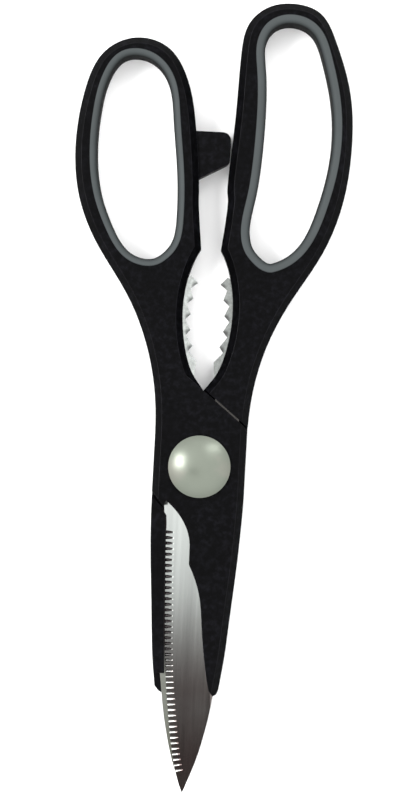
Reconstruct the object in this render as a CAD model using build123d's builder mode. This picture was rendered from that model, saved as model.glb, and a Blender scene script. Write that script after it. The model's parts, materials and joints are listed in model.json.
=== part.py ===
"""Poultry shears lying flat, built as the separate pieces they come apart into.

The two halves cross at the pivot. The front half carries the small loop, the stop lug and the
serrated blade, and the back half carries the tall loop and the plain blade. Each half is drawn
in the same position, with its loop on the left and its blade guard on the right, and the back
half is then turned over about the long axis at mid thickness.

Frame: the origin is where the pivot axis meets the surface that the shears lie on. +Z points
up along the pivot, +Y runs to the handles, -Y to the blade tips. Millimetres.
"""

from build123d import *
import math
import os

# Overall sizes
handle_length = 128.0  # pivot axis to the top of the tall loop
blade_length = 89.7  # pivot axis to the tips
waist = 12.6  # half width over the pivot
total_thickness = 11.0  # over the soft liners, which stand proud of the handles

# Handles
liner_proud = 0.3
edge_bevel = 1.8  # chamfer round the outside of the handles
flank_top = 8.0  # the straight flanks of the lap end this far above the pivot
lap_radius = 16.3  # rounded end of the lapped plastic, centred on the pivot
crotch = 20.8  # pivot axis to where the handles meet when shut
seam_gap = 0.5  # between one half's lap and the other half's shoulder
lap_gap = 0.3  # between the two plastic laps
guard_wall = 1.2  # plastic outside the spine of the blade
back_guard_extra = 0.6  # the back guard's wall is thicker by this at its far end
guard_drop = 1.6  # how much thinner the guard is at its far end
guard_fall_start = 10.0  # distance below the pivot where the guard begins to thin
lip_height = 1.2  # of the guard's lip over the inner face of the blade
lip_clearance = 0.35  # from the lip to the other blade's cutting edge
lip_start_radius = 15.2  # the other half's lap corner swings inside this

# Soft liners in the finger loops
small_liner_width = 2.0
tall_liner_width = 2.5
liner_round = 1.6
liner_key_depth = 0.9  # the moulded key that holds the liner in the handle
liner_key_height = 3.0

# Stop lug on the small loop
lug_thickness = 5.4
lug_length = 14.6  # along the shears, at its root
lug_reach = 3.9  # its tip, to the right of the pivot
lug_corner = 2.4
lug_rise = 6.2  # of its underside from root to tip

# Steel
steel_thickness = 2.0
steel_gap = 0.1
edge_thickness = 0.8  # of the ground face where the edge bevel starts
grind_slope = 0.1
grind_fall = 0.0055  # extra thinning per millimetre towards the tip
grind_runout = 9.0  # how far the ground face runs on under the handle
cutting_bevel = 1.5  # width of the plain blade's cutting bevel
cutting_bevel_depth = 0.62
flute_pitch = 1.53  # the serrated blade's edge is a row of ground flutes
flute_radius = 0.46
flute_depth = 0.44  # at the edge
flute_length = 2.1  # from the edge to where a flute runs out on the ground face
flute_start = 4.6  # from the heel to the middle of the first flute
flute_end = 5.2  # plain edge left at the tip
anchor_hole_radius = 2.0

# Nutcracker jaws on the tangs
jaw_teeth = 6
jaw_pitch = 4.3
jaw_gap = 4.6  # half the gap between the tips where the throat is widest
jaw_curve = 0.016
jaw_tooth_depth = 1.5
jaw_gullet_share = 0.36  # how far towards the next tip each gullet sits

# Pivot hardware
shoulder_radius = 3.0
running_clearance = 0.05
bolt_flat = 2.5  # half the distance across the flats that key the bolt in the back blade
thread_radius = 2.5
head_clearance = 0.4  # round the bolt's head in its recess
head_washer_thickness = 0.5
washer_radius = 5.0
washer_thickness = 0.5
washer_clearance = 0.1
spring_radius = 4.8
spring_stock = 0.3
spring_height = 0.6
nut_across_flats = 8.0
nut_thickness = 2.2
nut_clearance = 0.68  # from the nut's corners to the carrier
bolt_end_proud = 0.3
cap_radius = 8.5
cap_height = 3.2
cap_wall = 0.5
cap_rim_height = 0.9
carrier_flange = 0.8
carrier_wall = 0.9
carrier_depth = 1.6

# Levels
mid = total_thickness / 2
handle_top = total_thickness - liner_proud
lap_face = mid + lap_gap / 2
steel_low = mid + steel_gap / 2
steel_high = steel_low + steel_thickness

# Both handles have the same recess at the pivot, made to take the nut inside the cap's carrier
recess_radius = nut_across_flats / math.sqrt(3) + nut_clearance + carrier_wall
head_radius = recess_radius - head_clearance

# The front half is drawn on the first plane and the back half, turned over, on the second
FRONT = Plane.XY
BACK = Plane(origin=(0, 0, total_thickness), x_dir=(-1, 0, 0), z_dir=(0, 0, -1))


def up(across, station):
    """A point on the handle side; station is in hundredths of the handle length."""
    return (across, station / 100 * handle_length)


def down(across, station):
    """A point on the blade side; station is in hundredths of the blade length."""
    return (across, -station / 100 * blade_length)


neck_outside = [up(-waist - 0.9, 16.3), up(-16.7, 26.4), up(-22.7, 36.4)]
throat = [up(-5.2, 42.0), up(-6.8, 35.0), up(-6.6, 29.6), up(-5.7, 25.2), up(-3.5, 20.1)]

small_loop_outside = [
    up(-31.2, 46.3),
    up(-36.9, 56.4),
    up(-38.6, 66.6),
    up(-36.8, 79.2),
    up(-32.0, 87.6),
    up(-23.6, 90.9),
    up(-14.4, 89.0),
    up(-9.2, 83.2),
    up(-6.1, 73.5),
    up(-4.2, 59.5),
]
small_loop_opening = [
    up(-17.4, 42.1),
    up(-24.4, 44.3),
    up(-29.0, 49.5),
    up(-32.9, 57.0),
    up(-34.6, 66.0),
    up(-34.1, 75.5),
    up(-31.8, 83.1),
    up(-27.6, 87.5),
    up(-22.2, 88.4),
    up(-16.7, 86.8),
    up(-12.8, 83.2),
    up(-10.2, 74.0),
    up(-8.5, 63.2),
    up(-7.9, 52.5),
    up(-9.2, 46.6),
    up(-12.6, 43.4),
]
tall_loop_outside = [
    up(-30.2, 46.3),
    up(-35.1, 56.8),
    up(-37.0, 69.5),
    up(-35.9, 81.0),
    up(-31.2, 92.2),
    up(-26.2, 98.3),
    up(-19.4, 99.9),
    up(-12.0, 98.8),
    up(-7.0, 95.0),
    up(-5.4, 89.0),
    up(-4.7, 74.0),
    up(-3.6, 59.5),
]
tall_loop_opening = [
    up(-17.3, 42.2),
    up(-25.0, 46.1),
    up(-31.0, 56.2),
    up(-33.9, 68.0),
    up(-33.3, 79.2),
    up(-30.2, 88.8),
    up(-26.0, 95.2),
    up(-18.6, 97.4),
    up(-12.4, 95.6),
    up(-9.6, 91.6),
    up(-9.9, 85.0),
    up(-10.5, 75.5),
    up(-10.2, 67.5),
    up(-9.0, 58.0),
    up(-7.8, 50.5),
    up(-9.2, 46.2),
    up(-12.6, 43.3),
]
knuckle = up(-2.7, 46.5)
lug_root = up(-7.2, 66.0)  # middle of the lug's root, inside the rim of the small loop

guard_outside = [down(waist - 0.2, 16), down(11.7, 30), down(10.6, 45), down(9.5, 59.5), down(8.5, 67.8)]
guard_end = [down(8.0, 69.3), down(7.0, 69.9), down(5.8, 68.2)]
guard_inside = [down(4.1, 58.4), down(2.9, 48.0), down(2.1, 40.6), down(0.4, 34.3)]
guard_nick = down(-1.4, 30.0)
ricasso_cover = [down(-1.5, 24.0), down(-2.6, 19.0), down(-4.9, 14.8)]
ricasso_top = (-8.6, -9.7)
ricasso_edge = (-9.1, -11.2)
lap_corner = (-waist, -7.4)
lip_end = down(0, 63.8)

spine_free = [down(6.4, 75.0), down(5.0, 82.8), down(3.3, 90.0), down(1.1, 97.0)]
tip = down(0, 100)
cutting_edge = [down(-2.0, 93.9), down(-4.6, 78.3), down(-6.2, 64.0), down(-7.4, 41.5), down(-8.1, 19.7)]
heel = down(-8.3, 15.5)  # the cutting edge steps out to the ricasso here
ricasso = [down(-8.9, 14.6), (-9.6, -4.0)]
tang_outside = [(-10.0, 8.0), up(-10.6, 15.6), up(-13.4, 25.8), up(-17.4, 33.5)]
tang_end = [up(-17.0, 35.6), up(-10.0, 38.6)]
jaw_centre = up(0, 30.8)  # middle of the row of teeth
jaw_widest = up(0, 31.6)
jaw_half_row = (jaw_teeth - 1) / 2 * jaw_pitch
jaw_root_top = (-5.0, jaw_centre[1] + jaw_half_row + 2.0)
jaw_root_bottom = (-2.6, jaw_centre[1] - jaw_half_row - 3.2)
steel_under_lap = [(-3.4, 18.0), (2.0, 14.0), (7.0, 9.6), (8.4, 3.0), (8.4, -11.5)]
anchor_holes = [up(-10.0, 26.0), up(-11.6, 32.2)]


def jaw_tip(along):
    """How far left the line through the tooth tips is, a shallow bow round jaw_widest."""
    return jaw_curve * (along - jaw_widest[1]) ** 2 - jaw_gap


def jaw_points():
    """Tooth tips and gullets from the loop end down to the pivot end."""
    points = []
    for tooth in range(jaw_teeth):
        along = jaw_centre[1] + jaw_half_row - tooth * jaw_pitch
        points.append((jaw_tip(along), along))
        if tooth < jaw_teeth - 1:
            gullet = along - jaw_gullet_share * jaw_pitch
            points.append((jaw_tip(gullet) - jaw_tooth_depth, gullet))
    return points


def lap_foot(radius):
    """Where a line from the crotch touches the lap's round edge, and a parallel line further out."""
    across = math.sqrt(crotch**2 - lap_radius**2) / crotch
    return (radius * across, radius * lap_radius / crotch)


def beside_edge(points):
    """Where the other half's edge points come in this half's drawing, moved out by the clearance."""
    return [(lip_clearance - across, along) for across, along in points]


def draw_handle_outline(loop_outside, guard_extra):
    """Loop, neck, lap and guard in one closed line, clockwise from the waist."""
    outside_points = [(-waist, flank_top), *neck_outside, *loop_outside, knuckle]
    outside = Spline(*outside_points, tangents=[(0, 1), (0.12, -1)])
    Spline(knuckle, *throat, (0, crotch), tangents=[(-0.62, -1), (0.75, -1)])
    foot = lap_foot(lap_radius)
    lap_end = (waist, math.sqrt(lap_radius**2 - waist**2))
    Line((0, crotch), foot)
    RadiusArc(foot, lap_end, lap_radius)
    Line(lap_end, (waist, lap_corner[1]))
    guard_points = []
    for across, along in guard_outside:
        guard_points.append((across + guard_extra * along / guard_outside[-1][1], along))
    guard = Spline((waist, lap_corner[1]), *guard_points, tangents=[(0, -1), (-0.13, -1)])
    Polyline(guard @ 1, *guard_end)
    cover = Spline(guard_end[-1], *guard_inside, guard_nick)
    Line(cover @ 1, ricasso_cover[0])
    Spline(*ricasso_cover, ricasso_top)
    Polyline(ricasso_top, ricasso_edge, lap_corner, outside @ 0)


def draw_edge():
    """The cutting edge, from the tip to the heel."""
    return Spline(tip, *cutting_edge, heel, tangents=[(-0.5, 1), (-0.1, 1)])


def draw_blank_outline():
    """The steel stamping, clockwise from the tip up the cutting edge."""
    draw_edge()
    Polyline(heel, *ricasso)
    tang = Spline(ricasso[-1], *tang_outside, tangents=[(0, 1), (-0.4, 1)])
    Polyline(tang @ 1, *tang_end, jaw_root_top, *jaw_points(), jaw_root_bottom, *steel_under_lap)
    hidden = [(across - guard_wall, along) for across, along in guard_outside]
    Line(steel_under_lap[-1], hidden[0])
    Spline(*hidden, *spine_free, tip, tangents=[(-0.03, -1), (-0.6, -1)])


def draw_loop(points, growth=0):
    """A smooth closed line through points listed clockwise, or that far outside it."""
    line = Spline(*points, periodic=True, mode=Mode.PRIVATE)
    count = 3 * len(points)
    moved = []
    for step in range(count):
        outward = Vector(0, 0, 1).cross(line % (step / count))
        moved.append(line @ (step / count) + outward * growth)
    Spline(*moved, periodic=True)


def level(side, point, height):
    """A point of a drawing, at a height measured from the side's own resting plane."""
    return side.from_local_coords((point[0], point[1], height))


def build_blank(side):
    """The steel stamping with its ground face and anchor holes."""
    with BuildPart() as blank:
        with BuildSketch(side.offset(steel_low)):
            with BuildLine():
                draw_blank_outline()
            make_face()
            with Locations(*anchor_holes):
                Circle(anchor_hole_radius, mode=Mode.SUBTRACT)
        extrude(amount=steel_thickness)

        # The ground face falls towards the cutting edge, and a little towards the tip
        ground = Plane(
            origin=level(side, cutting_edge[-1], steel_low + edge_thickness),
            x_dir=side.x_dir + side.z_dir * grind_slope,
            z_dir=side.z_dir - side.x_dir * grind_slope - side.y_dir * grind_fall,
        )
        with BuildSketch(ground):
            with Locations((-waist, grind_runout)):
                Rectangle(3 * waist, 2 * blade_length, align=(Align.MIN, Align.MAX))
        extrude(amount=2 * steel_thickness, mode=Mode.SUBTRACT)
    return blank


def ground_height(point):
    """Height of the ground face over a point of the drawing, from the side's resting plane."""
    across = point[0] - cutting_edge[-1][0]
    along = point[1] - cutting_edge[-1][1]
    return steel_low + edge_thickness + grind_slope * across + grind_fall * along


def flute_planes(side):
    """One plane per flute, looking across the edge and up to where the flute runs out."""
    with BuildLine(side):
        edge = draw_edge()
    planes = []
    along_edge = edge.length - flute_start
    while along_edge > flute_end:
        foot = edge @ (along_edge / edge.length)
        along = edge % (along_edge / edge.length)
        inward = along.cross(side.z_dir)
        rise = flute_depth + grind_slope * flute_length
        axis = (inward * flute_length + side.z_dir * rise).normalized()
        drawn = side.to_local_coords(foot)
        bottom = foot + side.z_dir * (ground_height((drawn.X, drawn.Y)) - flute_depth)
        centre = bottom + axis.cross(along) * flute_radius
        planes.append(Plane(origin=centre - axis * flute_length, x_dir=along, z_dir=axis))
        along_edge -= flute_pitch
    return planes


def build_handle(side, blank, loop_outside, loop_opening, guard_extra=0, has_lug=False):
    """One moulded handle: loop, neck, lap over the pivot, and guard along the blade's spine."""
    with BuildPart() as handle:
        # Above mid thickness the whole outline, below it only what lies beyond the shoulder
        with BuildSketch(side.offset(lap_face)) as outline:
            with BuildLine():
                draw_handle_outline(loop_outside, guard_extra)
            make_face()
        extrude(amount=handle_top - lap_face)
        foot = lap_foot(lap_radius + seam_gap)
        top = (0, (lap_radius + seam_gap) * crotch / lap_radius)
        reach = 2 * blade_length / foot[0]
        with BuildSketch(side.offset(liner_proud)):
            add(outline.sketch_local)
            with BuildLine():
                far_right = (top[0] + reach * foot[0], top[1] + reach * (top[1] - foot[1]))
                far_left = (-reach * foot[0], top[1] - reach * (top[1] - foot[1]))
                Polyline(far_left, top, far_right, (far_right[0], far_left[1]), close=True)
            make_face(mode=Mode.SUBTRACT)
        extrude(amount=lap_face - liner_proud)

        # The lip over the inner face of the blade stops short of the other blade's edge
        with BuildSketch(side.offset(steel_low - lip_height)):
            add(outline.sketch_local)
            with BuildLine():
                inner = Spline(*beside_edge([*cutting_edge, heel]))
                shoulder = beside_edge(ricasso)
                Polyline(inner @ 1, *shoulder, (2 * waist, shoulder[-1][1]), (2 * waist, tip[1]), inner @ 0)
            make_face(mode=Mode.INTERSECT)
            Circle(lip_start_radius, mode=Mode.SUBTRACT)
            with Locations((0, lip_end[1])):
                Rectangle(4 * waist, blade_length, align=(Align.CENTER, Align.MAX), mode=Mode.SUBTRACT)
        extrude(amount=lap_face - steel_low + lip_height)

        # The guard thins towards its far end
        fall_length = -guard_end[0][1] - guard_fall_start
        with BuildSketch(Plane(origin=side.origin, x_dir=side.y_dir, z_dir=side.x_dir)):
            with BuildLine():
                Polyline(
                    (-guard_fall_start, handle_top),
                    (-guard_fall_start - 2 * fall_length, handle_top - 2 * guard_drop),
                    (-guard_fall_start - 2 * fall_length, handle_top + guard_drop),
                    close=True,
                )
            make_face()
        extrude(amount=2 * waist, both=True, mode=Mode.SUBTRACT)

        # Chamfers round the outside, the throat and the guard
        for point in (loop_outside[2], throat[2], guard_outside[1]):
            rim = handle.edges().sort_by_distance(level(side, point, handle_top))[0]
            chamfer(rim, length=edge_bevel)
        for point in (loop_outside[2], throat[2]):
            rim = handle.edges().sort_by_distance(level(side, point, liner_proud))[0]
            chamfer(rim, length=edge_bevel)

        # The finger loop, with a groove that holds its liner
        with BuildSketch(side):
            with BuildLine():
                draw_loop(loop_opening)
            make_face()
        extrude(amount=total_thickness, mode=Mode.SUBTRACT)
        with BuildSketch(side.offset(mid - liner_key_height / 2)):
            with BuildLine():
                draw_loop(loop_opening, growth=liner_key_depth)
            make_face()
        extrude(amount=liner_key_height, mode=Mode.SUBTRACT)

        add(blank.part, mode=Mode.SUBTRACT)
        with BuildSketch(side.offset(lap_face)):
            Circle(recess_radius)
        extrude(amount=total_thickness, mode=Mode.SUBTRACT)

        if has_lug:
            with BuildSketch(side.offset(mid - lug_thickness / 2)):
                root, middle = lug_root
                high = middle + lug_length / 2
                low = middle - lug_length / 2
                tip_low = (lug_reach, low + lug_rise)
                with BuildLine():
                    Polyline((root, high), (lug_reach, high), tip_low, (root, low), close=True)
                lug = make_face()
                fillet(lug.vertices().group_by(Axis.X)[-1], radius=lug_corner)
            extrude(amount=lug_thickness)
    return handle


def build_liner(side, loop_opening, width):
    """A soft ring that lines a finger loop, with a key round its outside."""
    with BuildPart() as liner:
        with BuildSketch(side):
            with BuildLine():
                draw_loop(loop_opening)
            make_face()
        extrude(amount=total_thickness)
        with BuildSketch(side.offset(mid - liner_key_height / 2)):
            with BuildLine():
                draw_loop(loop_opening, growth=liner_key_depth)
            make_face()
        extrude(amount=liner_key_height)
        with BuildSketch(side):
            with BuildLine():
                draw_loop(loop_opening, growth=-width)
            make_face()
        extrude(amount=total_thickness, mode=Mode.SUBTRACT)
        rims = [liner.faces().sort_by(Axis.Z)[end].inner_wires()[0].edges() for end in (0, -1)]
        fillet(rims[0] + rims[1], radius=liner_round)
    return liner


def dome_middle(radius, low, high):
    """The middle of a shallow arc that is level at (0, high) and ends at (radius, low)."""
    sphere = (radius**2 + (high - low) ** 2) / (2 * (high - low))
    half_angle = math.asin(radius / sphere) / 2
    return (sphere * math.sin(half_angle), high - sphere * (1 - math.cos(half_angle)))


def ring(inner, outer, low, high):
    """A plain flat ring on the pivot axis."""
    with BuildPart() as part:
        with BuildSketch(Plane.XY.offset(low)):
            Circle(outer)
            Circle(inner, mode=Mode.SUBTRACT)
        extrude(amount=high - low)
    return part


os.makedirs("parts", exist_ok=True)

# Blades
front_blank = build_blank(FRONT)
back_blank = build_blank(BACK)

# The front blade turns on the bolt's round shoulder and has the serrated edge
with BuildPart() as front_blade:
    add(front_blank.part)
    with BuildSketch(FRONT.offset(steel_low)):
        Circle(shoulder_radius + running_clearance)
    extrude(amount=steel_thickness, mode=Mode.SUBTRACT)
    with Locations(*flute_planes(FRONT)):
        from_start = (Align.CENTER, Align.CENTER, Align.MIN)
        Cylinder(flute_radius, 3 * flute_length, align=from_start, mode=Mode.SUBTRACT)
front_blade.part.label = "front_blade"
export_step(front_blade.part, "parts/front_blade.step")

# The back blade is held by the bolt's flats and has a plain bevelled edge
with BuildPart() as back_blade:
    add(back_blank.part)
    with BuildSketch(BACK.offset(steel_low)):
        Circle(shoulder_radius)
        Rectangle(2 * bolt_flat, 2 * shoulder_radius, mode=Mode.INTERSECT)
    extrude(amount=steel_thickness, mode=Mode.SUBTRACT)
    on_edge = cutting_edge[2]
    on_face = (0, on_edge[1])
    sharpened = back_blade.edges().sort_by_distance(level(BACK, on_edge, ground_height(on_edge)))[0]
    ground_face = back_blade.faces().sort_by_distance(level(BACK, on_face, ground_height(on_face)))[0]
    chamfer(sharpened, length=cutting_bevel, length2=cutting_bevel_depth, reference=ground_face)
back_blade.part.label = "back_blade"
export_step(back_blade.part, "parts/back_blade.step")

# Handles and their liners
front_handle = build_handle(FRONT, front_blank, small_loop_outside, small_loop_opening, has_lug=True)
front_handle.part.label = "front_handle"
export_step(front_handle.part, "parts/front_handle.step")

back_handle = build_handle(BACK, back_blank, tall_loop_outside, tall_loop_opening, back_guard_extra)
back_handle.part.label = "back_handle"
export_step(back_handle.part, "parts/back_handle.step")

front_grip_liner = build_liner(FRONT, small_loop_opening, small_liner_width)
front_grip_liner.part.label = "front_grip_liner"
export_step(front_grip_liner.part, "parts/front_grip_liner.step")

back_grip_liner = build_liner(BACK, tall_loop_opening, tall_liner_width)
back_grip_liner.part.label = "back_grip_liner"
export_step(back_grip_liner.part, "parts/back_grip_liner.step")

# Levels of the pivot hardware, from the resting surface up
back_steel_low = total_thickness - steel_high
shoulder_top = steel_high + running_clearance
flat_washer_top = shoulder_top + washer_thickness
spring_top = flat_washer_top + spring_height
nut_top = spring_top + nut_thickness

# The bolt's flat head lies in the back handle and its flats are keyed in the back blade
with BuildPart() as pivot_bolt:
    with BuildSketch(Plane.XY):
        Circle(head_radius)
    extrude(amount=back_steel_low - head_washer_thickness)
    with BuildSketch(Plane.XY.offset(back_steel_low - head_washer_thickness)):
        Circle(shoulder_radius)
        Rectangle(2 * bolt_flat, 2 * shoulder_radius, mode=Mode.INTERSECT)
    extrude(amount=mid - back_steel_low + head_washer_thickness)
    with BuildSketch(Plane.XY.offset(mid)):
        Circle(shoulder_radius)
    extrude(amount=shoulder_top - mid)
    with BuildSketch(Plane.XY.offset(shoulder_top)):
        Circle(thread_radius)
    extrude(amount=nut_top + bolt_end_proud - shoulder_top)
    head_edge = pivot_bolt.edges().group_by(Axis.Z)[0]
    end_edge = pivot_bolt.edges().group_by(Axis.Z)[-1]
    chamfer(head_edge + end_edge, length=bolt_end_proud)
pivot_bolt.part.label = "pivot_bolt"
export_step(pivot_bolt.part, "parts/pivot_bolt.step")

head_washer = ring(shoulder_radius, head_radius, back_steel_low - head_washer_thickness, back_steel_low)
head_washer.part.label = "head_washer"
export_step(head_washer.part, "parts/head_washer.step")

flat_washer = ring(thread_radius, washer_radius, shoulder_top, flat_washer_top)
flat_washer.part.label = "flat_washer"
export_step(flat_washer.part, "parts/flat_washer.step")

# A dished spring washer keeps the blades together
with BuildPart() as spring_washer:
    with BuildSketch(Plane.XZ):
        with BuildLine():
            Polyline(
                (spring_radius, flat_washer_top),
                (thread_radius + washer_clearance, spring_top - spring_stock),
                (thread_radius + washer_clearance, spring_top),
                (spring_radius, flat_washer_top + spring_stock),
                close=True,
            )
        make_face()
    revolve(axis=Axis.Z)
spring_washer.part.label = "spring_washer"
export_step(spring_washer.part, "parts/spring_washer.step")

with BuildPart() as pivot_nut:
    with BuildSketch(Plane.XY.offset(spring_top)):
        RegularPolygon(nut_across_flats / 2, 6, major_radius=False)
        Circle(thread_radius, mode=Mode.SUBTRACT)
    extrude(amount=nut_thickness)
pivot_nut.part.label = "pivot_nut"
export_step(pivot_nut.part, "parts/pivot_nut.step")

# A ring pressed into the front handle's recess carries the cap
with BuildPart() as cap_carrier:
    with BuildSketch(Plane.XZ):
        with BuildLine():
            Polyline(
                (recess_radius - carrier_wall, handle_top - carrier_depth),
                (recess_radius, handle_top - carrier_depth),
                (recess_radius, handle_top),
                (cap_radius - cap_wall, handle_top),
                (cap_radius - cap_wall, handle_top + carrier_flange),
                (recess_radius - carrier_wall, handle_top + carrier_flange),
                close=True,
            )
        make_face()
    revolve(axis=Axis.Z)
cap_carrier.part.label = "cap_carrier"
export_step(cap_carrier.part, "parts/cap_carrier.step")

# A thin domed cap clips over the carrier
with BuildPart() as pivot_cap:
    with BuildSketch(Plane.XZ):
        crown = handle_top + cap_height
        rim_top = handle_top + cap_rim_height
        with BuildLine():
            Line((cap_radius, handle_top), (cap_radius, rim_top))
            ThreePointArc((cap_radius, rim_top), dome_middle(cap_radius, rim_top, crown), (0, crown))
            Line((0, crown), (0, crown - cap_wall))
            ThreePointArc(
                (0, crown - cap_wall),
                dome_middle(cap_radius - cap_wall, rim_top, crown - cap_wall),
                (cap_radius - cap_wall, rim_top),
            )
            Line((cap_radius - cap_wall, rim_top), (cap_radius - cap_wall, handle_top))
            Line((cap_radius - cap_wall, handle_top), (cap_radius, handle_top))
        make_face()
    revolve(axis=Axis.Z)
pivot_cap.part.label = "pivot_cap"
export_step(pivot_cap.part, "parts/pivot_cap.step")
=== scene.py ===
"""Poultry shears: the visible pieces, their finishes, and a plain studio to see them in."""

import json
import math

import bmesh
import bpy
from bpy.props import FloatProperty, FloatVectorProperty, IntProperty, PointerProperty
from mathutils import Matrix, Vector

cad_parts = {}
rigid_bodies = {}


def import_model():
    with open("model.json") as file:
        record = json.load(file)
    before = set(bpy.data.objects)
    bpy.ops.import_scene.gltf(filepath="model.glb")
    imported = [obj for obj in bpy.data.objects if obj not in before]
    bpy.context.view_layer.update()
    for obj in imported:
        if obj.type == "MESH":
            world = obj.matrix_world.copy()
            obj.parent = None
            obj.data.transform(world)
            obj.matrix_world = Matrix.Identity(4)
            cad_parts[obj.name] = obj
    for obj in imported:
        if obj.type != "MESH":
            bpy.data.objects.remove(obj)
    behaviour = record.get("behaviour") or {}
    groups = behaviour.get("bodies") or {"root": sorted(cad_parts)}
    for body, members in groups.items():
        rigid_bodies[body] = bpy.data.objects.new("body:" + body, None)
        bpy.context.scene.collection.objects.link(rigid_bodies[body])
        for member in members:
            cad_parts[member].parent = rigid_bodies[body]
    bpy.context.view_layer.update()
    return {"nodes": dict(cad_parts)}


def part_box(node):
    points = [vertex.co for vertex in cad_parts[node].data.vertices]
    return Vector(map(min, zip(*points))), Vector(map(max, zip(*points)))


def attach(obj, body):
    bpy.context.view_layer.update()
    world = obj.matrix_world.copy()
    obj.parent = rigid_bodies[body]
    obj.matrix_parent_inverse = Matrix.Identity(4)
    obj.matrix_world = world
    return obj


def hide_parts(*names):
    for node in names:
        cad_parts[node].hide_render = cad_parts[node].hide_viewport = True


bl_info = {
    "name": "Poultry shears",
    "version": (1, 0, 0),
    "blender": (4, 5, 0),
    "location": "3D View > Sidebar > Shears",
    "description": "Builds the handles, liners, blades and pivot of a pair of poultry shears",
    "category": "Object",
}

for leftover in list(bpy.data.objects):
    bpy.data.objects.remove(leftover)

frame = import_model()

MM = 0.001
FRONT_BODY = "front_half"
BACK_BODY = "back_half"

SHARP = math.radians(28)  # what counts as a corner on a moulded or pressed piece
SHARP_STEEL = math.radians(4)  # and on the blades, whose ground faces meet at small angles
FLAT = math.radians(0.3)  # neighbouring faces within this are one flat
SAME_PLACE = 0.002 * MM  # vertices closer than this are one

# Places along the shears, measured from the pivot: the blades' tips lie below zero
# The blades darken towards their tips, partly by stains and partly by a painted reflection
STAIN_AND_REFLECTION_FULL = -58 * MM
STAIN_AND_REFLECTION_END = -26 * MM
TIP_STAIN_AND_REFLECTION_FULL = -82 * MM
TIP_STAIN_AND_REFLECTION_END = -64 * MM
# Over these places the flutes darken with residue and a painted dark reflection
FLUTES_LIGHT = -68 * MM
FLUTES_DARK = -50 * MM
GREASE_START = 3 * MM
GREASE_END = 25 * MM
DULL_START = 23 * MM
DULL_FULL = 26 * MM
TEETH_START = 20 * MM
TEETH_REACH = 7.5 * MM  # the jaws' teeth lie within this of the middle


# ---------------------------------------------------------------- sizes and colours


class ShearsSizes(bpy.types.PropertyGroup):
    """Sizes of what the looks add to the model."""

    edge_round: FloatProperty(
        name="Edge round",
        description="Radius of the softened corners of the moulded handles",
        default=0.35 * MM,
        subtype="DISTANCE",
        unit="LENGTH",
        precision=5,
    )
    liner_inner_round: FloatProperty(
        name="Liner inner round",
        description="Radius of the liners' corners towards the fingers",
        default=1.6 * MM,
        subtype="DISTANCE",
        unit="LENGTH",
        precision=5,
    )
    liner_outer_round: FloatProperty(
        name="Liner outer round",
        description="Radius of the liners' corners against the handles",
        default=0.3 * MM,
        subtype="DISTANCE",
        unit="LENGTH",
        precision=5,
    )
    liner_steps: IntProperty(
        name="Liner steps",
        description="Number of sections swept round each liner",
        default=180,
        min=24,
        max=400,
    )


class ShearsColours(bpy.types.PropertyGroup):
    """Colours of the finishes, as linear values."""

    handle: FloatVectorProperty(
        name="Handle",
        description="Black moulded plastic",
        default=(0.0020, 0.0020, 0.0027),
        subtype="COLOR",
        size=3,
        min=0,
        max=1,
    )
    liner: FloatVectorProperty(
        name="Liner",
        description="Grey soft liner of the finger loops",
        default=(0.043, 0.049, 0.050),
        subtype="COLOR",
        size=3,
        min=0,
        max=1,
    )
    steel: FloatVectorProperty(
        name="Blade steel",
        description="Ground stainless steel",
        default=(0.40, 0.42, 0.405),
        subtype="COLOR",
        size=3,
        min=0,
        max=1,
    )
    cap: FloatVectorProperty(
        name="Pivot cap",
        description="Satin plated cap",
        default=(0.130, 0.145, 0.118),
        subtype="COLOR",
        size=3,
        min=0,
        max=1,
    )


# ---------------------------------------------------------------- shader helpers


class Wire:
    """A shader value that takes part in arithmetic, adding a Math node for each operation."""

    def __init__(self, finish, socket):
        self.finish = finish
        self.socket = socket

    def math(self, operation, *values):
        node = self.finish.node("ShaderNodeMath", {"operation": operation}, dict(enumerate(values)))
        return Wire(self.finish, node.outputs[0])

    def __add__(self, other):
        return self.math("ADD", self, other)

    __radd__ = __add__

    def __sub__(self, other):
        return self.math("SUBTRACT", self, other)

    def __rsub__(self, other):
        return self.math("SUBTRACT", other, self)

    def __mul__(self, other):
        return self.math("MULTIPLY", self, other)

    __rmul__ = __mul__

    def __truediv__(self, other):
        return self.math("DIVIDE", self, other)

    def ramp(self, low, high, low_value=0.0, high_value=1.0):
        """Runs smoothly from low_value to high_value as this value goes from low to high."""
        node = self.finish.node(
            "ShaderNodeMapRange",
            {"interpolation_type": "SMOOTHSTEP"},
            {"Value": self, "From Min": low, "From Max": high, "To Min": low_value, "To Max": high_value},
        )
        return Wire(self.finish, node.outputs[0])


class Nodes:
    """A node tree, with one method that adds any node."""

    def __init__(self, tree):
        self.tree = tree

    def node(self, kind, settings=None, inputs=None):
        """Adds a node; settings are set first, then each input's value or link."""
        node = self.tree.nodes.new(kind)
        for key, value in (settings or {}).items():
            setattr(node, key, value)
        for key, value in (inputs or {}).items():
            self.feed(node.inputs[key], value)
        return node

    def feed(self, socket, value):
        if isinstance(value, Wire):
            value = value.socket
        if isinstance(value, bpy.types.NodeSocket):
            self.tree.links.new(value, socket)
        elif value is not None:
            socket.default_value = value

    def axes(self, vector):
        """A vector's X, Y and Z as three values."""
        node = self.node("ShaderNodeSeparateXYZ", None, {"Vector": vector})
        return [Wire(self, node.outputs[axis]) for axis in "XYZ"]


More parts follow.
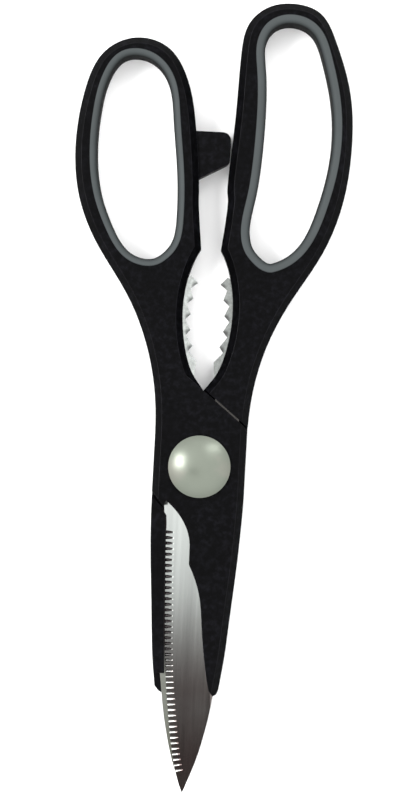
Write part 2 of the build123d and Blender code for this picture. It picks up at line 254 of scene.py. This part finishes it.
class Finish(Nodes):
    """One procedural material on Object coordinates."""

    def __init__(self, name):
        self.material = bpy.data.materials.new(name)
        self.material.use_nodes = True
        super().__init__(self.material.node_tree)
        self.shader = self.tree.nodes["Principled BSDF"]
        self.place = self.node("ShaderNodeTexCoord").outputs["Object"]

    def stretched(self, scale):
        """The place on the piece, scaled along each axis."""
        node = self.node("ShaderNodeMapping", None, {"Vector": self.place, "Scale": scale})
        return node.outputs["Vector"]

    def noise(self, scale, detail=2.0, roughness=0.5, place=None):
        node = self.node(
            "ShaderNodeTexNoise",
            None,
            {"Vector": place or self.place, "Scale": scale, "Detail": detail, "Roughness": roughness},
        )
        return Wire(self, node.outputs["Fac"])

    def blend(self, factor, low, high):
        """A colour between two others."""
        node = self.node("ShaderNodeMix", {"data_type": "RGBA"}, {0: factor, 6: low, 7: high})
        return node.outputs[2]

    def bump(self, height, distance, strength=1.0):
        """A surface relief of that height in metres."""
        node = self.node(
            "ShaderNodeBump", None, {"Height": height, "Distance": distance, "Strength": strength}
        )
        return node.outputs["Normal"]

    def surface(self, **values):
        """Sets the shader's own sockets, by name with spaces as underscores."""
        for key, value in values.items():
            self.feed(self.shader.inputs[key.replace("_", " ")], value)
        return self.material


def colour(value, scale=1.0):
    return (value[0] * scale, value[1] * scale, value[2] * scale, 1.0)


def handle_plastic(colours):
    """Fine grained black moulding with patches of dust."""
    finish = Finish("black_moulding")
    grain = finish.noise(5200.0, detail=3.0, roughness=0.6)
    clouds = finish.noise(70.0, detail=4.0)
    dust = finish.noise(650.0, detail=5.0, roughness=0.7).ramp(0.42, 0.72) * clouds.ramp(0.35, 0.6, 0.4, 1.0)
    tone = finish.blend(clouds, colour(colours.handle, 0.1), colour(colours.handle, 0.5))
    tone = finish.blend(dust, tone, colour(colours.handle, 2.0))
    return finish.surface(
        Base_Color=tone,
        Roughness=clouds * 0.12 + grain * 0.1 + 0.38,
        Normal=finish.bump(grain, 0.00004, 0.6),
        Specular_IOR_Level=0.035,
    )


def corner_highlight(colours):
    """The same moulding on its rounded corners, a little glossier and lighter in colour as a painted
    highlight.
    """
    finish = Finish("corner_highlight")
    wear_and_highlight = finish.noise(120.0, detail=3.0).ramp(0.35, 0.65)
    # painted highlight: the corners are two to six times lighter than the handle
    tone = finish.blend(wear_and_highlight, colour(colours.handle, 2.0), colour(colours.handle, 6.0))
    return finish.surface(
        Base_Color=tone,
        Roughness=0.34 - wear_and_highlight * 0.08,
        Specular_IOR_Level=0.12,
    )


def liner_rubber(colours):
    """Smooth grey elastomer with a faint bloom, with painted shade on the walls inside the loop."""
    finish = Finish("grey_elastomer")
    clouds = finish.noise(140.0, detail=4.0)
    grain = finish.noise(4000.0, detail=2.0)
    upward = finish.axes(finish.node("ShaderNodeTexCoord").outputs["Normal"])[2]
    # painted shade: walls that face sideways are darker in colour, and rougher
    shaded_walls = upward.math("ABSOLUTE", upward).ramp(0.1, 0.97, 1.0, 0.0)
    tone = finish.blend(clouds, colour(colours.liner, 0.88), colour(colours.liner, 1.15))
    tone = finish.blend(shaded_walls, tone, colour(colours.liner, 0.1))
    return finish.surface(
        Base_Color=tone,
        Roughness=clouds * 0.15 + shaded_walls * 0.3 + 0.5,
        Normal=finish.bump(grain, 0.00003, 0.4),
        Specular_IOR_Level=0.1,
    )


def flute_residue_and_reflection(along, depth):
    """Residue and a painted dark reflection in a serrated edge's flutes, thin towards the tip and over whole
    flutes near the pivot.
    """
    dark_flutes = along.ramp(FLUTES_LIGHT, FLUTES_DARK)
    dark_marks = (depth + dark_flutes * 0.19 * MM).ramp(0.2 * MM, 0.22 * MM) * dark_flutes
    return dark_marks * depth.ramp(0.5 * MM, 0.6 * MM, 1.0, 0.0)


def spine_line(across, along):
    """A dark line along the spine, from the pivot down to where the tip's darkening is full."""
    line = across.ramp(-7 * MM, -6 * MM, 1.0, 0.0) * along.ramp(STAIN_AND_REFLECTION_FULL, STAIN_AND_REFLECTION_FULL + 2 * MM)
    return line * along.ramp(0.0, 4 * MM, 1.0, 0.0)


def tooth_shade_spots(finish, teeth, ragged):
    """A round spot of painted shade at each tooth, the same at every height, with a ragged outline."""
    flattened = finish.stretched((1.0, 1.0, 0.0))
    spots = []
    for tooth in teeth:
        away = finish.node("ShaderNodeVectorMath", {"operation": "DISTANCE"}, {0: flattened, 1: tooth})
        reach = Wire(finish, away.outputs["Value"]) + ragged * 0.8 * MM
        spots.append(reach.ramp(0.7 * MM, 1.9 * MM, 0.7, 0.0))
    return spots


def blade_steel(name, colours, teeth, ground=None):
    """Stainless steel ground lengthwise, darker towards the tips with stains and a painted reflection, and
    greasy round the pivot.

    The tang above the pivot is dull as it was stamped, with a spot of painted shade under each of the teeth.
    Where ground gives a point and the normal of the ground face, residue and a painted dark reflection
    darken what lies below that face, as the flutes of a serrated edge do. Without it, a dark line runs
    along the spine.
    """
    finish = Finish(name)
    fine = finish.noise(1.0, detail=3.0, roughness=0.65, place=finish.stretched((5200.0, 60.0, 900.0)))
    broad = finish.noise(1.0, detail=2.0, place=finish.stretched((620.0, 9.0, 100.0)))
    stains = finish.noise(55.0, detail=5.0, roughness=0.6)
    scale = finish.noise(900.0, detail=4.0, roughness=0.7).ramp(0.3, 0.7)
    across, along, _ = finish.axes(finish.place)
    # stains and a painted reflection darken the blade towards the tip
    stain_and_reflection = (along + stains * 8 * MM).ramp(STAIN_AND_REFLECTION_FULL, STAIN_AND_REFLECTION_END, 1.0, 0.0)
    tip_stain_and_reflection = along.ramp(TIP_STAIN_AND_REFLECTION_FULL, TIP_STAIN_AND_REFLECTION_END, 0.2, 0.0)
    greasy = along.ramp(GREASE_START, GREASE_START + 4 * MM)
    greasy = greasy * along.ramp(GREASE_END - 4 * MM, GREASE_END, 1.0, 0.0)
    if ground:
        point, normal = ground
        drop = finish.node("ShaderNodeVectorMath", {"operation": "DOT_PRODUCT"}, {0: finish.place, 1: normal})
        depth = point.dot(normal) - Wire(finish, drop.outputs["Value"])
        stain_and_reflection = stain_and_reflection * depth.ramp(0.08 * MM, 0.16 * MM, 1.0, 0.5)
        dark_marks = flute_residue_and_reflection(along, depth)
        stamped = colour(colours.steel, 0.75)
        stain_and_reflection_tone = (0.085, 0.066, 0.062, 1.0)
    else:
        stain_and_reflection = stain_and_reflection * 0.9
        dark_marks = spine_line(across, along)
        stamped = colour(colours.steel, 0.45)
        stain_and_reflection_tone = (0.075, 0.076, 0.055, 1.0)
    # painted shade under each tooth
    dark_marks = sum(tooth_shade_spots(finish, teeth, stains), dark_marks)
    tone = finish.blend(broad, colour(colours.steel, 0.72), colour(colours.steel, 1.18))
    tone = finish.blend(stains.ramp(0.5, 0.75) * 0.25, tone, (0.28, 0.27, 0.25, 1.0))
    dull = finish.blend(scale, colour(stamped, 0.78), colour(stamped, 1.12))
    tone = finish.blend(along.ramp(DULL_START, DULL_FULL), tone, dull)
    # stains and a painted reflection towards the tip
    tone = finish.blend(stain_and_reflection * (stains * 0.3 + 0.65 + tip_stain_and_reflection), tone, stain_and_reflection_tone)
    tone = finish.blend(greasy, tone, (0.047, 0.044, 0.042, 1.0))
    # residue and a painted dark reflection in the flutes, and painted shade under the teeth
    tone = finish.blend(dark_marks, tone, (0.01, 0.009, 0.009, 1.0))
    return finish.surface(
        Base_Color=tone,
        Metallic=1.0,
        Roughness=fine * 0.1 + broad * 0.06 + 0.06,
        Normal=finish.bump(fine, 0.000005, 0.35),
    )


def cap_metal(colours):
    """Satin plated pressing."""
    finish = Finish("satin_cap")
    clouds = finish.noise(260.0, detail=4.0)
    grain = finish.noise(3500.0, detail=2.0)
    warm = finish.noise(110.0, detail=3.0).ramp(0.42, 0.62)
    tone = finish.blend(clouds, colour(colours.cap, 0.93), colour(colours.cap, 1.06))
    tone = finish.blend(warm * 0.45, tone, (0.175, 0.165, 0.145, 1.0))
    return finish.surface(
        Base_Color=tone,
        Metallic=0.5,
        Roughness=clouds * 0.08 + 0.25,
        Normal=finish.bump(grain, 0.00001, 0.3),
    )


def zinc_steel():
    """Bright zinc plate with the faint crystal look of plating."""
    finish = Finish("zinc_plate")
    patches = finish.node("ShaderNodeTexVoronoi", None, {"Vector": finish.place, "Scale": 900.0})
    spangle = Wire(finish, patches.outputs["Distance"])
    clouds = finish.noise(400.0, detail=3.0)
    tone = finish.blend(spangle, (0.5, 0.51, 0.5, 1.0), (0.66, 0.66, 0.62, 1.0))
    return finish.surface(
        Base_Color=tone,
        Metallic=1.0,
        Roughness=clouds * 0.2 + 0.26,
        Normal=finish.bump(clouds, 0.00003, 0.3),
    )


def carrier_plastic(colours):
    """Plain black plastic, duller than the handles."""
    finish = Finish("carrier_moulding")
    clouds = finish.noise(300.0, detail=3.0)
    tone = finish.blend(clouds, colour(colours.handle, 1.0), colour(colours.handle, 1.6))
    return finish.surface(
        Base_Color=tone,
        Roughness=clouds * 0.15 + 0.5,
        Normal=finish.bump(clouds, 0.00003, 0.3),
    )


# ---------------------------------------------------------------- shared mesh work


def put_finish(piece, material):
    piece.data.materials.clear()
    piece.data.materials.append(material)


def copy_of_node(node, name, crease=SHARP):
    """A merged copy of a CAD node's mesh, shaded smooth except at its corners."""
    mesh = frame["nodes"][node].data.copy()
    mesh.name = name
    shape = bmesh.new()
    shape.from_mesh(mesh)
    bmesh.ops.remove_doubles(shape, verts=shape.verts, dist=SAME_PLACE)
    bmesh.ops.dissolve_limit(shape, angle_limit=FLAT, verts=shape.verts, edges=shape.edges)
    for edge in shape.edges:
        edge.smooth = len(edge.link_faces) == 2 and edge.calc_face_angle(math.pi) < crease
    for face in shape.faces:
        face.smooth = True
    shape.to_mesh(mesh)
    shape.free()
    if mesh.has_custom_normals:
        mesh.attributes.remove(mesh.attributes["custom_normal"])
    piece = bpy.data.objects.new(name, mesh)
    bpy.context.scene.collection.objects.link(piece)
    return piece


def round_corners(piece, radius, material):
    """Rounds the piece's corners in a finish with a painted highlight, and keeps its flats flat."""
    piece.data.materials.append(material)
    bevel = piece.modifiers.new("round", "BEVEL")
    bevel.width = radius
    bevel.segments = 3
    bevel.limit_method = "ANGLE"
    bevel.angle_limit = SHARP
    bevel.use_clamp_overlap = True
    bevel.harden_normals = True
    bevel.material = len(piece.data.materials) - 1


def signed_area(ring):
    """Twice the area inside a ring of points, positive when it runs anticlockwise from above."""
    following = ring[1:] + ring[:1]
    return sum(here.x * there.y - there.x * here.y for here, there in zip(ring, following))


def liner_tree(material):
    """A geometry tree that sweeps a rounded section along a rail, inwards from it."""
    tree = bpy.data.node_groups.new("liner_sweep", "GeometryNodeTree")
    tree.interface.new_socket("Geometry", in_out="INPUT", socket_type="NodeSocketGeometry")
    for name in ("Width", "Height", "Inner round", "Outer round"):
        tree.interface.new_socket(name, in_out="INPUT", socket_type="NodeSocketFloat")
    tree.interface.new_socket("Steps", in_out="INPUT", socket_type="NodeSocketInt")
    tree.interface.new_socket("Geometry", in_out="OUTPUT", socket_type="NodeSocketGeometry")
    nodes = Nodes(tree)
    given = nodes.node("NodeGroupInput").outputs
    width = Wire(nodes, given["Width"])

    section = nodes.node(
        "GeometryNodeCurvePrimitiveQuadrilateral",
        {"mode": "RECTANGLE"},
        {"Width": width, "Height": given["Height"]},
    )
    across = nodes.axes(nodes.node("GeometryNodeInputPosition").outputs[0])[0]
    inner = across.math("LESS_THAN", across, 0.0)
    radius = inner * given["Inner round"] + (1.0 - inner) * given["Outer round"]
    rounded = nodes.node(
        "GeometryNodeFilletCurve",
        {"mode": "POLY"},
        {"Curve": section.outputs[0], "Count": 7, "Radius": radius},
    )
    shift = nodes.node("ShaderNodeCombineXYZ", None, {"X": width * -0.5})
    moved = nodes.node(
        "GeometryNodeSetPosition", None, {"Geometry": rounded.outputs[0], "Offset": shift.outputs[0]}
    )

    rail = nodes.node("GeometryNodeMeshToCurve", None, {"Mesh": given["Geometry"]})
    even = nodes.node(
        "GeometryNodeResampleCurve", {"mode": "COUNT"}, {"Curve": rail.outputs[0], "Count": given["Steps"]}
    )
    upright = nodes.node("GeometryNodeSetCurveNormal", {"mode": "Z_UP"}, {"Curve": even.outputs[0]})
    sweep = nodes.node(
        "GeometryNodeCurveToMesh", None, {"Curve": upright.outputs[0], "Profile Curve": moved.outputs[0]}
    )
    smooth = nodes.node("GeometryNodeSetShadeSmooth", None, {"Geometry": sweep.outputs[0]})
    real = nodes.node("GeometryNodeRealizeInstances", None, {"Geometry": smooth.outputs[0]})
    finished = nodes.node(
        "GeometryNodeSetMaterial", None, {"Geometry": real.outputs[0], "Material": material}
    )
    nodes.node("NodeGroupOutput", None, {"Geometry": finished.outputs[0]})
    return tree


def from_tree(name, start, tree, values):
    """A plain mesh object: what the tree makes of the start mesh with those inputs."""
    maker = bpy.data.objects.new(name + "_maker", start)
    bpy.context.scene.collection.objects.link(maker)
    modifier = maker.modifiers.new("tree", "NODES")
    modifier.node_group = tree
    for item in tree.interface.items_tree:
        if item.in_out == "INPUT" and item.name in values:
            modifier[item.identifier] = values[item.name]
    seen = maker.evaluated_get(bpy.context.evaluated_depsgraph_get())
    mesh = bpy.data.meshes.new_from_object(seen)
    mesh.name = name
    bpy.data.objects.remove(maker)
    shape = bmesh.new()
    shape.from_mesh(mesh)
    bmesh.ops.recalc_face_normals(shape, faces=shape.faces)
    shape.to_mesh(mesh)
    shape.free()
    piece = bpy.data.objects.new(name, mesh)
    bpy.context.scene.collection.objects.link(piece)
    return piece


# ---------------------------------------------------------------- operators


class SHEARS_OT_handles(bpy.types.Operator):
    """Make the two moulded handles"""

    bl_idname = "shears.handles"
    bl_label = "Handles"

    def execute(self, context):
        sizes = context.scene.shears_sizes
        finish = handle_plastic(context.scene.shears_colours)
        highlight_finish = corner_highlight(context.scene.shears_colours)
        for node, body in (("front_handle", FRONT_BODY), ("back_handle", BACK_BODY)):
            piece = copy_of_node(node, node + "_moulding")
            put_finish(piece, finish)
            round_corners(piece, sizes.edge_round, highlight_finish)
            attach(piece, body)
            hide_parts(node)
        return {"FINISHED"}


class SHEARS_OT_liners(bpy.types.Operator):
    """Sweep the soft liners round the finger loops"""

    bl_idname = "shears.liners"
    bl_label = "Liners"

    def execute(self, context):
        sizes = context.scene.shears_sizes
        tree = liner_tree(liner_rubber(context.scene.shears_colours))
        for node, body in (("front_grip_liner", FRONT_BODY), ("back_grip_liner", BACK_BODY)):
            low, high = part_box(node)
            rail, width = self.rail(node)
            values = {
                "Width": width,
                "Height": high[2] - low[2],
                "Inner round": sizes.liner_inner_round,
                "Outer round": sizes.liner_outer_round,
                "Steps": sizes.liner_steps,
            }
            piece = from_tree(node + "_bead", rail, tree, values)
            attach(piece, body)
            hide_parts(node)
        return {"FINISHED"}

    def rail(self, node):
        """The liner's outside as a ring of edges at mid height, and the liner's width.

        Both come from a cut halfway between the middle and the top, which is above the key.
        """
        low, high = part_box(node)
        height = low[2] + 0.75 * (high[2] - low[2])
        shape = bmesh.new()
        shape.from_mesh(frame["nodes"][node].data)
        bmesh.ops.remove_doubles(shape, verts=shape.verts, dist=SAME_PLACE)
        everything = shape.verts[:] + shape.edges[:] + shape.faces[:]
        cut = bmesh.ops.bisect_plane(shape, geom=everything, plane_co=(0, 0, height), plane_no=(0, 0, 1))
        edges = [item for item in cut["geom_cut"] if isinstance(item, bmesh.types.BMEdge)]
        inner, outer = sorted(self.rings(edges), key=lambda ring: max(point.y for point in ring))
        width = max(point.y for point in outer) - max(point.y for point in inner)
        shape.free()
        if signed_area(outer) < 0:
            outer.reverse()
        middle = (low[2] + high[2]) / 2
        mesh = bpy.data.meshes.new(node + "_rail")
        count = len(outer)
        links = [(step, (step + 1) % count) for step in range(count)]
        mesh.from_pydata([(point.x, point.y, middle) for point in outer], links, [])
        return mesh, width

    def rings(self, edges):
        """Orders loose edges into closed rings of points."""
        left = set(edges)
        rings = []
        while left:
            edge = left.pop()
            start, vert = edge.verts
            ring = [start.co.copy()]
            while vert is not start:
                ring.append(vert.co.copy())
                edge = next(link for link in vert.link_edges if link in left)
                left.remove(edge)
                vert = edge.other_vert(vert)
            rings.append(ring)
        return rings


class SHEARS_OT_blades(bpy.types.Operator):
    """Make the two steel blades"""

    bl_idname = "shears.blades"
    bl_label = "Blades"

    def execute(self, context):
        colours = context.scene.shears_colours
        serrated = self.ground_face("front_blade")
        for node, body, side, ground in (
            ("front_blade", FRONT_BODY, 1, serrated),
            ("back_blade", BACK_BODY, -1, None),
        ):
            piece = copy_of_node(node, node + "_ground", crease=SHARP_STEEL)
            put_finish(piece, blade_steel(node + "_stainless", colours, self.teeth(piece.data, side), ground))
            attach(piece, body)
            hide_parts(node)
        return {"FINISHED"}

    def ground_face(self, node):
        """A point and the normal of the blade's ground face, which leans a little to one side."""
        faces = frame["nodes"][node].data.polygons
        leaning = [face for face in faces if face.normal.z > 0.98 and face.normal.x < -0.05]
        largest = max(leaning, key=lambda face: face.area)
        return largest.center.copy(), largest.normal.copy()

    def teeth(self, mesh, side):
        """A place just below the tip of each tooth; side is +1 where the teeth point to +X."""
        corners = []
        for edge in mesh.edges:
            low, high = (mesh.vertices[index].co for index in edge.vertices)
            upright = (low - high).xy.length < 0.01 * MM
            if upright and low.y > TEETH_START and abs(low.x) < TEETH_REACH:
                corners.append((low.y, low.x * side))
        corners.sort()
        least_tooth = 0.5 * MM
        inward = 0.5 * MM
        below = 0.7 * MM
        places = []
        for (_, before), (along, tip), (_, after) in zip(corners, corners[1:], corners[2:]):
            if tip > max(before, after) + least_tooth:
                places.append(((tip - inward) * side, along - below, 0.0))
        return places


class SHEARS_OT_pivot(bpy.types.Operator):
    """Finish the pivot's bolt, washers, nut, carrier and cap"""

    bl_idname = "shears.pivot"
    bl_label = "Pivot"

    def execute(self, context):
        plated = zinc_steel()
        for node in ("pivot_bolt", "head_washer", "flat_washer", "spring_washer", "pivot_nut"):
            put_finish(frame["nodes"][node], plated)
        put_finish(frame["nodes"]["cap_carrier"], carrier_plastic(context.scene.shears_colours))
        piece = copy_of_node("pivot_cap", "pivot_cap_pressing")
        put_finish(piece, cap_metal(context.scene.shears_colours))
        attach(piece, FRONT_BODY)
        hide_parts("pivot_cap")
        return {"FINISHED"}


def aim(thing, place, target, up):
    """Puts a camera or light at a place, looking at a target with its top towards up."""
    back = (Vector(place) - Vector(target)).normalized()
    right = Vector(up).cross(back).normalized()
    top = back.cross(right)
    thing.matrix_world = Matrix(
        (
            (right.x, top.x, back.x, place[0]),
            (right.y, top.y, back.y, place[1]),
            (right.z, top.z, back.z, place[2]),
            (0.0, 0.0, 0.0, 1.0),
        )
    )


class SHEARS_OT_stage(bpy.types.Operator):
    """Make the floor, the lights and the camera"""

    bl_idname = "shears.stage"
    bl_label = "Stage"

    def execute(self, context):
        scene = context.scene
        self.floor(scene)
        self.lights(scene)
        self.camera(scene)
        return {"FINISHED"}

    def floor(self, scene):
        mesh = bpy.data.meshes.new("floor")
        half = 3.0
        corners = [(-half, -half, 0), (half, -half, 0), (half, half, 0), (-half, half, 0)]
        mesh.from_pydata(corners, [], [(0, 1, 2, 3)])
        floor = bpy.data.objects.new("floor", mesh)
        scene.collection.objects.link(floor)
        finish = Finish("pale_floor")
        paper = finish.noise(9.0, detail=3.0)
        tone = finish.blend(paper, (0.92, 0.92, 0.92, 1), (0.95, 0.95, 0.95, 1))
        put_finish(floor, finish.surface(Base_Color=tone, Roughness=0.9, Specular_IOR_Level=0.1))

    def lamp(self, scene, name, place, size, energy):
        """A rectangular lamp aimed at the pivot."""
        light = bpy.data.lights.new(name, "AREA")
        light.shape = "RECTANGLE"
        light.size, light.size_y = size
        light.energy = energy
        lamp = bpy.data.objects.new(name, light)
        scene.collection.objects.link(lamp)
        aim(lamp, place, (0, 0, 0), (0, 1, 0.01))

    def lights(self, scene):
        self.sky(scene)
        self.lamp(scene, "key", place=(-0.737, 0.148, 0.935), size=(0.30, 0.44), energy=10.0)
        self.lamp(scene, "fill", place=(0.474, 0.686, 0.863), size=(0.5, 0.3), energy=2.6)

    def sky(self, scene):
        """A white studio dome with a black card near the top, which the ground steel reflects."""
        world = bpy.data.worlds.new("studio")
        scene.world = world
        world.use_nodes = True
        nodes = Nodes(world.node_tree)
        across, along, height = nodes.axes(nodes.node("ShaderNodeTexCoord").outputs["Generated"])
        dome = height.ramp(0.3, 0.65, 0.35, 2.35)
        top = height.ramp(0.8, 0.9)
        card = (along / height).ramp(-0.115, -0.055, 1.0, 0.0)
        card = card * (across / height).ramp(-0.1, 0.06, 1.0, 0.0)
        card = card * (along / height).ramp(-0.34, -0.26) * (across / height).ramp(-0.4, -0.32)
        strength = dome * (1.0 - card * top * 0.9)
        background = nodes.tree.nodes["Background"]
        background.inputs["Color"].default_value = (1.0, 1.0, 1.0, 1.0)
        nodes.feed(background.inputs["Strength"], strength)

    def camera(self, scene):
        """Looks straight down at the shears, turned a little about its own line of sight."""
        centre = Vector((0.43, 18.25, 8.0)) * MM
        lean = math.radians(3.1)
        distance = 0.7
        length_in_view = 219.2 * MM
        lens = bpy.data.cameras.new("camera")
        lens.sensor_width = 36.0
        lens.lens = lens.sensor_width * distance / length_in_view
        lens.clip_start = 0.01
        camera = bpy.data.objects.new("camera", lens)
        scene.collection.objects.link(camera)
        aim(camera, centre + Vector((0, 0, distance)), centre, (-math.sin(lean), math.cos(lean), 0))
        scene.camera = camera
        scene.view_settings.view_transform = "Standard"


class SHEARS_PT_panel(bpy.types.Panel):
    """Lists the builders in the 3D view's sidebar"""

    bl_idname = "SHEARS_PT_panel"
    bl_label = "Poultry shears"
    bl_space_type = "VIEW_3D"
    bl_region_type = "UI"
    bl_category = "Shears"

    def draw(self, context):
        for group in (context.scene.shears_sizes, context.scene.shears_colours):
            for name in group.__annotations__:
                self.layout.prop(group, name)
        for builder in BUILDERS:
            self.layout.operator(builder.bl_idname)


BUILDERS = (
    SHEARS_OT_handles,
    SHEARS_OT_liners,
    SHEARS_OT_blades,
    SHEARS_OT_pivot,
    SHEARS_OT_stage,
)
CLASSES = (ShearsSizes, ShearsColours, *BUILDERS, SHEARS_PT_panel)


def register():
    for item in CLASSES:
        bpy.utils.register_class(item)
    bpy.types.Scene.shears_sizes = PointerProperty(type=ShearsSizes)
    bpy.types.Scene.shears_colours = PointerProperty(type=ShearsColours)


def unregister():
    del bpy.types.Scene.shears_colours
    del bpy.types.Scene.shears_sizes
    for item in reversed(CLASSES):
        bpy.utils.unregister_class(item)


def main():
    register()
    bpy.ops.shears.handles()
    bpy.ops.shears.liners()
    bpy.ops.shears.blades()
    bpy.ops.shears.pivot()
    bpy.ops.shears.stage()


if __name__ == "__main__":
    main()
